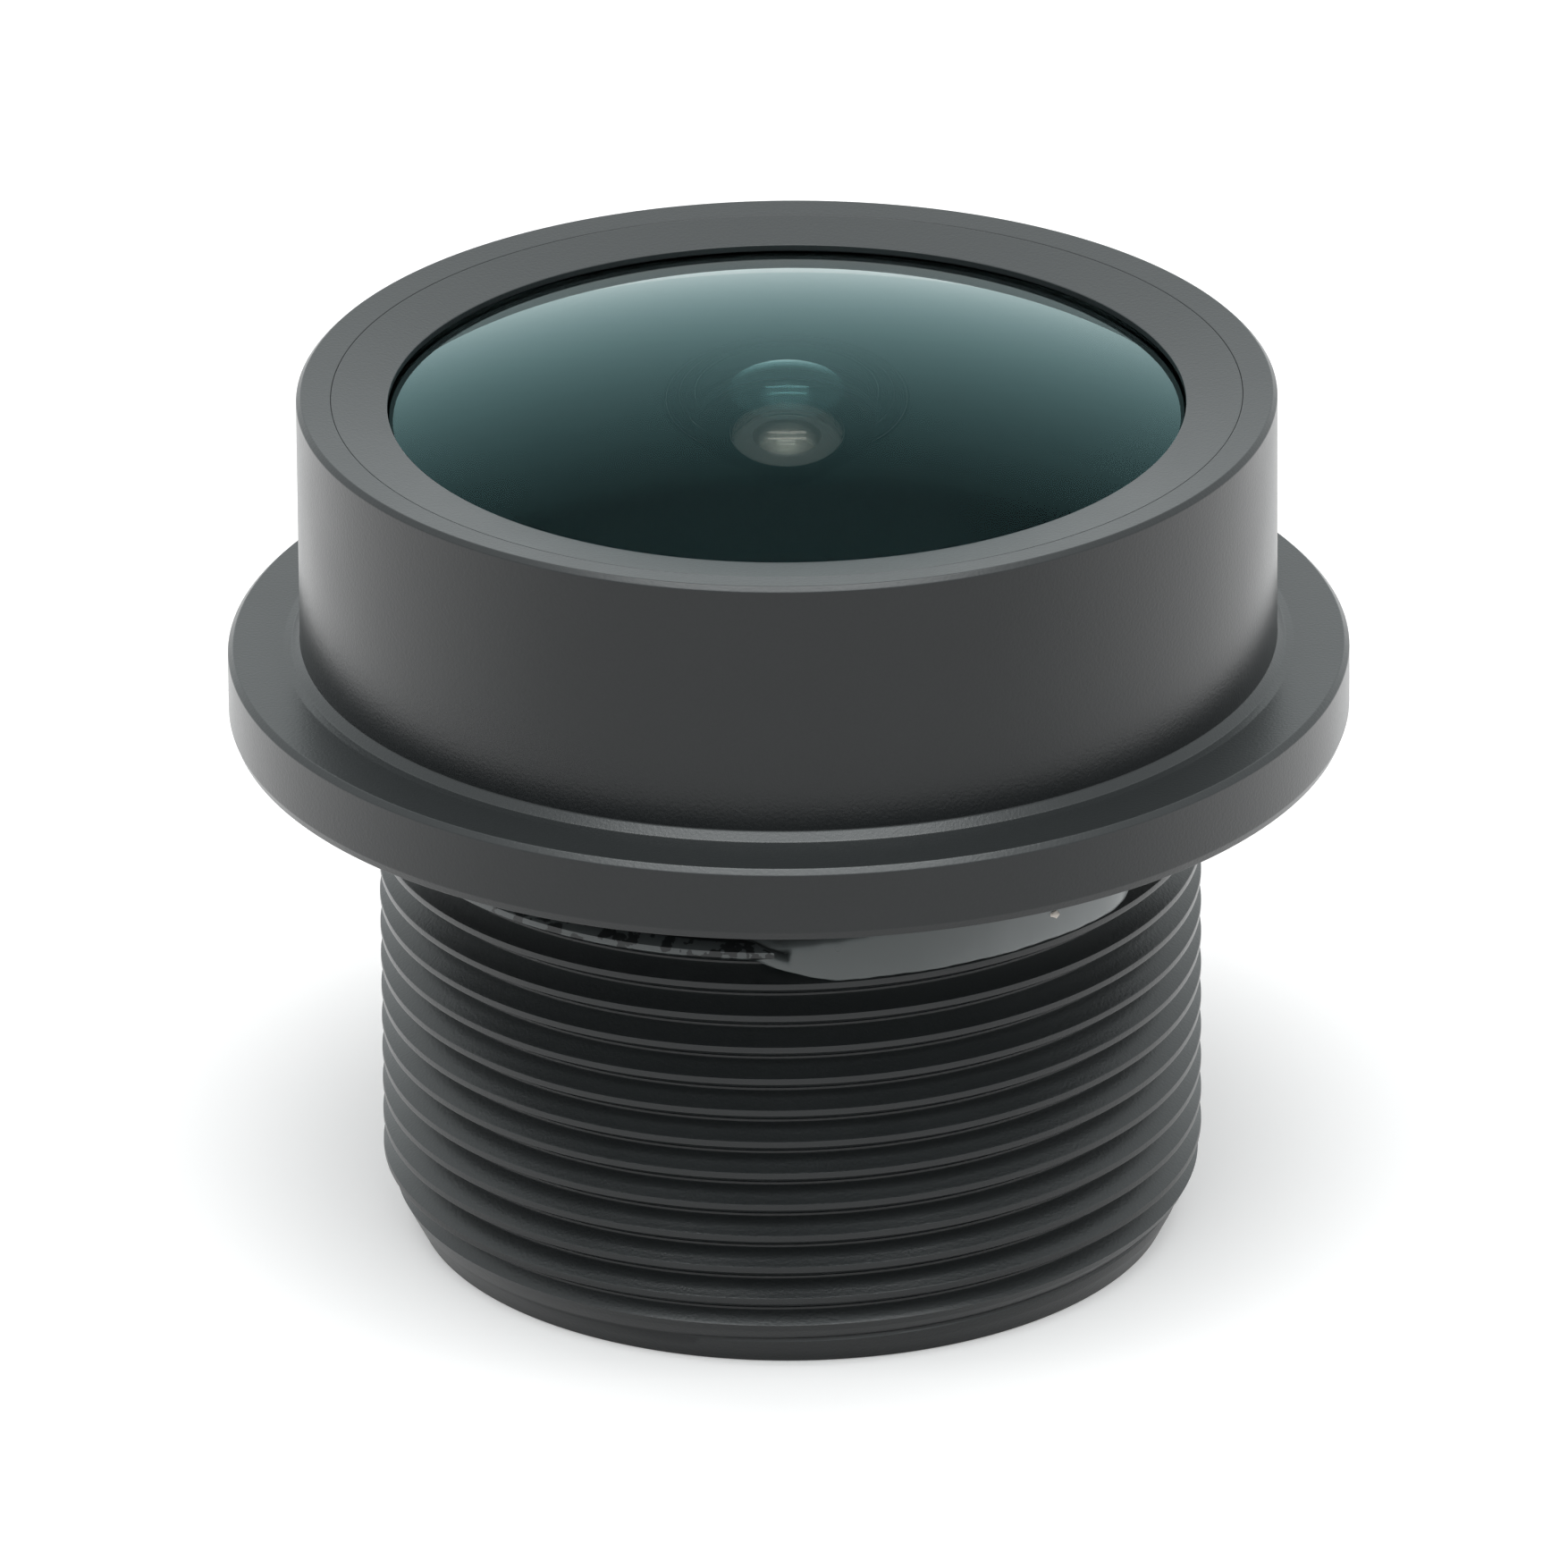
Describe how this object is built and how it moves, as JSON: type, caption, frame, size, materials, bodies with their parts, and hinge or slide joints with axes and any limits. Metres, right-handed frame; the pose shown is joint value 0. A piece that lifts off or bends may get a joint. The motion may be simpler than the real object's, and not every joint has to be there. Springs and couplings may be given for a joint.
{
  "type": "wide-angle board lens",
  "caption": "Fixed-focus wide-angle board lens: domed front glass, flanged black barrel with a fine mounting thread, and a stack of inner elements.",
  "frame": {"origin": "centre of the barrel's rear end face, at the bottom of the part", "axes": "+Z along the optical axis towards the front glass; the pictured side faces -Y"},
  "size_m": [0.0164, 0.0162, 0.0136],
  "materials": {
    "black_anodised": "fine-blasted and black anodised",
    "spacer_black": "matt black anodised",
    "film_black": "matt black film",
    "seal_rubber": "smooth black rubber",
    "front_glass": "polished, with a teal anti-reflection coating",
    "inner_glass": "polished and coated",
    "filter_glass": "polished, with an infrared-cut coating",
    "clear_adhesive": "cured clear adhesive",
    "black_adhesive": "cured glossy black adhesive"
  },
  "bodies": {
    "root": {"barrel": "black_anodised", "front_retaining_ring": "black_anodised", "front_element": "front_glass", "front_seal_ring": "seal_rubber", "second_element": "inner_glass", "front_light_shield": "film_black", "front_spacer": "spacer_black", "third_element": "inner_glass", "stop_front_spacer": "spacer_black", "aperture_stop": "film_black", "stop_rear_spacer": "spacer_black", "fourth_element": "inner_glass", "fifth_element": "inner_glass", "rear_light_shield": "film_black", "rear_spacer": "spacer_black", "sixth_element": "inner_glass", "rear_retaining_ring": "black_anodised", "infrared_filter": "filter_glass", "filter_adhesive": "clear_adhesive", "flange_adhesive": "black_adhesive"}
  },
  "joints": []
}
